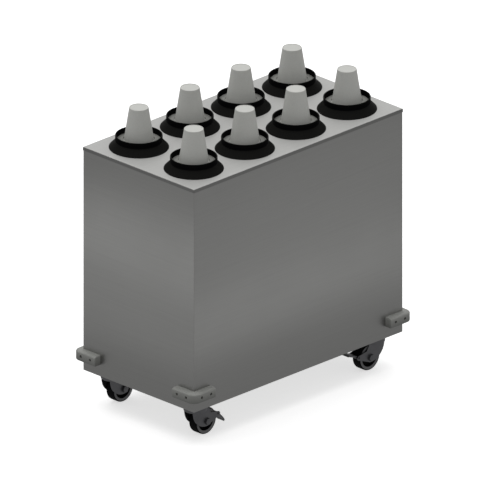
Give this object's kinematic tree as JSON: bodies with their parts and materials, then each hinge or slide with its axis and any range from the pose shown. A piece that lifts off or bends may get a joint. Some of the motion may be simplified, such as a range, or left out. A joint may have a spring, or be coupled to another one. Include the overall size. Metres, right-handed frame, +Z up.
{
  "type": "mobile cup dispenser",
  "caption": "Closed sheet metal cart on swivel casters, with spring-lifted tubes in its deck that hold nested cups upside down and offer the top one.",
  "frame": {"origin": "on the floor below the middle of the cabinet", "axes": "+X along the long side to the right end, +Y to the back, +Z up"},
  "size_m": [0.975, 0.54, 1.012],
  "materials": {
    "stainless_sheet": "satin brushed stainless sheet",
    "bumper_plastic": "moulded grey vinyl, fine grain",
    "dark_screws": "black screws sunk in the bumpers",
    "collar_plastic": "moulded black plastic, satin",
    "gasket_film": "pale flexible sheet",
    "tube_steel": "rolled steel tube",
    "spring_steel": "drawn spring wire",
    "caster_steel": "dull zinc plated pressed steel",
    "bolt_steel": "plated bolts",
    "follower_plastic": "grey moulded plastic",
    "cup_foam": "off-white moulded cup foam",
    "wheel_plastic": "grey moulded wheel core",
    "tyre_rubber": "black rubber tread"
  },
  "bodies": {
    "cabinet": {"deck_plate": "stainless_sheet", "front_panel": "stainless_sheet", "rear_panel": "stainless_sheet", "left_end_panel": "stainless_sheet", "right_end_panel": "stainless_sheet", "base_pan": "stainless_sheet", "front_left_bumper": "bumper_plastic", "front_right_bumper": "bumper_plastic", "rear_left_bumper": "bumper_plastic", "rear_right_bumper": "bumper_plastic", "bumper_screws": "dark_screws", "dispenser_collars": "collar_plastic", "cup_gaskets": "gasket_film", "dispenser_tubes": "tube_steel", "tube_end_caps": "collar_plastic", "dispenser_springs": "spring_steel", "caster_top_plates": "caster_steel", "caster_plate_bolts": "bolt_steel"},
    "lift_1": {"follower_1": "follower_plastic", "cup_stack_1": "cup_foam"},
    "cup_1": {"top_cup_1": "cup_foam"},
    "lift_2": {"follower_2": "follower_plastic", "cup_stack_2": "cup_foam"},
    "cup_2": {"top_cup_2": "cup_foam"},
    "lift_3": {"follower_3": "follower_plastic", "cup_stack_3": "cup_foam"},
    "cup_3": {"top_cup_3": "cup_foam"},
    "lift_4": {"follower_4": "follower_plastic", "cup_stack_4": "cup_foam"},
    "cup_4": {"top_cup_4": "cup_foam"},
    "lift_5": {"follower_5": "follower_plastic", "cup_stack_5": "cup_foam"},
    "cup_5": {"top_cup_5": "cup_foam"},
    "lift_6": {"follower_6": "follower_plastic", "cup_stack_6": "cup_foam"},
    "cup_6": {"top_cup_6": "cup_foam"},
    "lift_7": {"follower_7": "follower_plastic", "cup_stack_7": "cup_foam"},
    "cup_7": {"top_cup_7": "cup_foam"},
    "lift_8": {"follower_8": "follower_plastic", "cup_stack_8": "cup_foam"},
    "cup_8": {"top_cup_8": "cup_foam"},
    "front_left_caster": {"front_left_fork": "caster_steel", "front_left_axle_bolt": "bolt_steel"},
    "front_left_wheel": {"front_left_wheel_core": "wheel_plastic", "front_left_tyre": "tyre_rubber"},
    "front_left_pedal": {"front_left_brake_pedal": "caster_steel"},
    "front_right_caster": {"front_right_fork": "caster_steel", "front_right_axle_bolt": "bolt_steel"},
    "front_right_wheel": {"front_right_wheel_core": "wheel_plastic", "front_right_tyre": "tyre_rubber"},
    "front_right_pedal": {"front_right_brake_pedal": "caster_steel"},
    "rear_left_caster": {"rear_left_fork": "caster_steel", "rear_left_axle_bolt": "bolt_steel"},
    "rear_left_wheel": {"rear_left_wheel_core": "wheel_plastic", "rear_left_tyre": "tyre_rubber"},
    "rear_right_caster": {"rear_right_fork": "caster_steel", "rear_right_axle_bolt": "bolt_steel"},
    "rear_right_wheel": {"rear_right_wheel_core": "wheel_plastic", "rear_right_tyre": "tyre_rubber"}
  },
  "joints": [
    {"name": "lift_1_slide", "type": "slide", "parent": "cabinet", "child": "lift_1", "axis": [0, 0, 1], "range_m": [-0.3, 0], "stiffness_N_per_m": 60, "springref_m": 0.5, "deforming": ["dispenser_springs"]},
    {"name": "cup_1_take", "type": "slide", "parent": "lift_1", "child": "cup_1", "axis": [0, 0, 1], "range_m": [0, 0.15]},
    {"name": "lift_2_slide", "type": "slide", "parent": "cabinet", "child": "lift_2", "axis": [0, 0, 1], "range_m": [-0.3, 0], "stiffness_N_per_m": 60, "springref_m": 0.5, "deforming": ["dispenser_springs"]},
    {"name": "cup_2_take", "type": "slide", "parent": "lift_2", "child": "cup_2", "axis": [0, 0, 1], "range_m": [0, 0.15]},
    {"name": "lift_3_slide", "type": "slide", "parent": "cabinet", "child": "lift_3", "axis": [0, 0, 1], "range_m": [-0.3, 0], "stiffness_N_per_m": 60, "springref_m": 0.5, "deforming": ["dispenser_springs"]},
    {"name": "cup_3_take", "type": "slide", "parent": "lift_3", "child": "cup_3", "axis": [0, 0, 1], "range_m": [0, 0.15]},
    {"name": "lift_4_slide", "type": "slide", "parent": "cabinet", "child": "lift_4", "axis": [0, 0, 1], "range_m": [-0.3, 0], "stiffness_N_per_m": 60, "springref_m": 0.5, "deforming": ["dispenser_springs"]},
    {"name": "cup_4_take", "type": "slide", "parent": "lift_4", "child": "cup_4", "axis": [0, 0, 1], "range_m": [0, 0.15]},
    {"name": "lift_5_slide", "type": "slide", "parent": "cabinet", "child": "lift_5", "axis": [0, 0, 1], "range_m": [-0.3, 0], "stiffness_N_per_m": 60, "springref_m": 0.5, "deforming": ["dispenser_springs"]},
    {"name": "cup_5_take", "type": "slide", "parent": "lift_5", "child": "cup_5", "axis": [0, 0, 1], "range_m": [0, 0.15]},
    {"name": "lift_6_slide", "type": "slide", "parent": "cabinet", "child": "lift_6", "axis": [0, 0, 1], "range_m": [-0.3, 0], "stiffness_N_per_m": 60, "springref_m": 0.5, "deforming": ["dispenser_springs"]},
    {"name": "cup_6_take", "type": "slide", "parent": "lift_6", "child": "cup_6", "axis": [0, 0, 1], "range_m": [0, 0.15]},
    {"name": "lift_7_slide", "type": "slide", "parent": "cabinet", "child": "lift_7", "axis": [0, 0, 1], "range_m": [-0.3, 0], "stiffness_N_per_m": 60, "springref_m": 0.5, "deforming": ["dispenser_springs"]},
    {"name": "cup_7_take", "type": "slide", "parent": "lift_7", "child": "cup_7", "axis": [0, 0, 1], "range_m": [0, 0.15]},
    {"name": "lift_8_slide", "type": "slide", "parent": "cabinet", "child": "lift_8", "axis": [0, 0, 1], "range_m": [-0.3, 0], "stiffness_N_per_m": 60, "springref_m": 0.5, "deforming": ["dispenser_springs"]},
    {"name": "cup_8_take", "type": "slide", "parent": "lift_8", "child": "cup_8", "axis": [0, 0, 1], "range_m": [0, 0.15]},
    {"name": "front_left_swivel", "type": "hinge", "parent": "cabinet", "child": "front_left_caster", "pos_m": [-0.3955, -0.184, 0.0945], "axis": [0, 0, 1], "continuous": true},
    {"name": "front_left_roll", "type": "hinge", "parent": "front_left_caster", "child": "front_left_wheel", "pos_m": [-0.3635, -0.184, 0.0445], "axis": [0, 1, 0], "continuous": true},
    {"name": "front_left_brake", "type": "hinge", "parent": "front_left_caster", "child": "front_left_pedal", "pos_m": [-0.3135, -0.184, 0.0555], "axis": [0, -1, 0], "range_deg": [0, 69]},
    {"name": "front_right_swivel", "type": "hinge", "parent": "cabinet", "child": "front_right_caster", "pos_m": [0.3955, -0.184, 0.0945], "axis": [0, 0, 1], "continuous": true},
    {"name": "front_right_roll", "type": "hinge", "parent": "front_right_caster", "child": "front_right_wheel", "pos_m": [0.3635, -0.184, 0.0445], "axis": [0, 1, 0], "continuous": true},
    {"name": "front_right_brake", "type": "hinge", "parent": "front_right_caster", "child": "front_right_pedal", "pos_m": [0.3135, -0.184, 0.0555], "axis": [0, -1, 0], "range_deg": [0, 69]},
    {"name": "rear_left_swivel", "type": "hinge", "parent": "cabinet", "child": "rear_left_caster", "pos_m": [-0.3955, 0.184, 0.0945], "axis": [0, 0, 1], "continuous": true},
    {"name": "rear_left_roll", "type": "hinge", "parent": "rear_left_caster", "child": "rear_left_wheel", "pos_m": [-0.3635, 0.184, 0.0445], "axis": [0, 1, 0], "continuous": true},
    {"name": "rear_right_swivel", "type": "hinge", "parent": "cabinet", "child": "rear_right_caster", "pos_m": [0.3955, 0.184, 0.0945], "axis": [0, 0, 1], "continuous": true},
    {"name": "rear_right_roll", "type": "hinge", "parent": "rear_right_caster", "child": "rear_right_wheel", "pos_m": [0.3635, 0.184, 0.0445], "axis": [0, 1, 0], "continuous": true}
  ]
}
